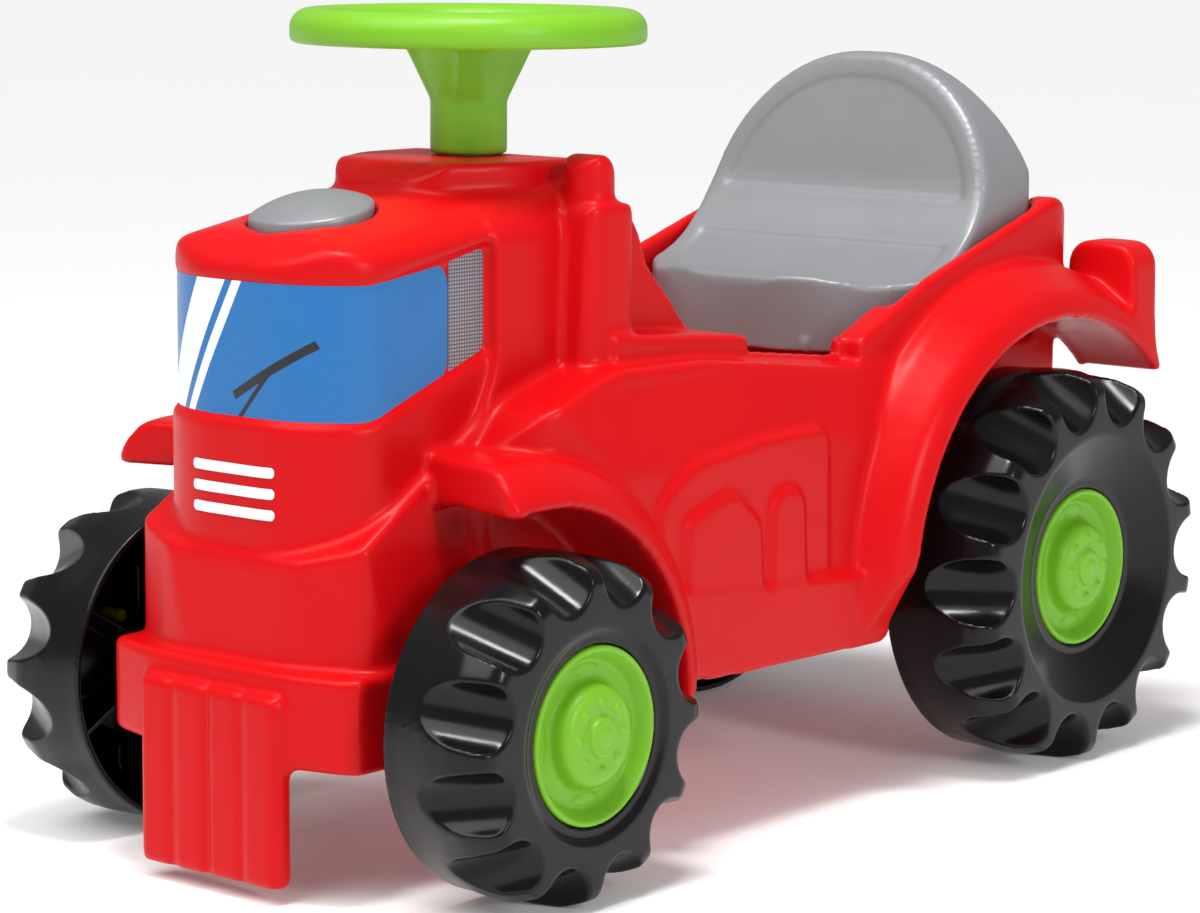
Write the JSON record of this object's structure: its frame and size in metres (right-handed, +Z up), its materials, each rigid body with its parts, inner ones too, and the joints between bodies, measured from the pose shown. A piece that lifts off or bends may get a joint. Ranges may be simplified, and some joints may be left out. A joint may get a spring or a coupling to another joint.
{
  "type": "ride-on toy tractor",
  "caption": "Child's ride-on tractor: hollow moulded body with fenders, free-turning wheels, steering wheel on a column, horn button and lift-up seat over a storage tub.",
  "frame": {"origin": "middle of the toy on the floor it stands on", "axes": "+Z up, -Y the way the toy faces, +X its left side"},
  "size_m": [0.3014, 0.5536, 0.37],
  "materials": {
    "red_plastic": "satin gloss moulded",
    "green_plastic": "satin gloss moulded",
    "grey_plastic": "satin metallic grey",
    "black_plastic": "gloss moulded",
    "screen_print": "printed film",
    "mesh_print": "printed film",
    "white_print": "printed film",
    "white_plastic": "matte moulded",
    "bellows": "soft vinyl",
    "steel": "zinc plated"
  },
  "bodies": {
    "body": {"body_shell": "red_plastic", "windscreen_decal": "screen_print", "side_window_decals": "mesh_print", "grille_decal": "white_print", "front_axle": "steel", "rear_axle": "steel", "front_push_nuts": "steel", "rear_push_nuts": "steel", "front_washers": "white_plastic", "rear_washers": "white_plastic", "steering_bushes": "white_plastic", "steering_washer": "white_plastic", "horn_squeaker": "bellows", "horn_base": "white_plastic", "seat_hinge_rod": "steel"},
    "steering": {"steering_wheel": "green_plastic", "steering_rod": "steel", "steering_push_nut": "steel", "steering_screw": "steel", "steering_cap": "green_plastic"},
    "horn": {"horn_button": "grey_plastic"},
    "seat": {"seat_lid": "grey_plastic"},
    "front_left_wheel": {"front_left_tyre": "black_plastic", "front_left_hub_cap": "green_plastic"},
    "front_right_wheel": {"front_right_tyre": "black_plastic", "front_right_hub_cap": "green_plastic"},
    "rear_left_wheel": {"rear_left_tyre": "black_plastic", "rear_left_hub_cap": "green_plastic"},
    "rear_right_wheel": {"rear_right_tyre": "black_plastic", "rear_right_hub_cap": "green_plastic"}
  },
  "joints": [
    {"name": "front_left_wheel_spin", "type": "hinge", "parent": "body", "child": "front_left_wheel", "pos_m": [0.12, -0.192, 0.075], "axis": [1, 0, 0], "continuous": true},
    {"name": "front_right_wheel_spin", "type": "hinge", "parent": "body", "child": "front_right_wheel", "pos_m": [-0.12, -0.192, 0.075], "axis": [1, 0, 0], "continuous": true},
    {"name": "rear_left_wheel_spin", "type": "hinge", "parent": "body", "child": "rear_left_wheel", "pos_m": [0.12, 0.181, 0.0958], "axis": [1, 0, 0], "continuous": true},
    {"name": "rear_right_wheel_spin", "type": "hinge", "parent": "body", "child": "rear_right_wheel", "pos_m": [-0.12, 0.181, 0.0958], "axis": [1, 0, 0], "continuous": true},
    {"name": "steering_turn", "type": "hinge", "parent": "body", "child": "steering", "pos_m": [0, -0.111, 0.36], "axis": [0, 0, 1], "continuous": true},
    {"name": "horn_press", "type": "slide", "parent": "body", "child": "horn", "axis": [0, 0, -1], "range_m": [0, 0.004], "stiffness_N_per_m": 800, "springref_m": -0.001, "deforming": ["horn_squeaker"]},
    {"name": "seat_lift", "type": "hinge", "parent": "body", "child": "seat", "pos_m": [0, 0.096, 0.208], "axis": [1, 0, 0], "range_deg": [0, 75]}
  ]
}
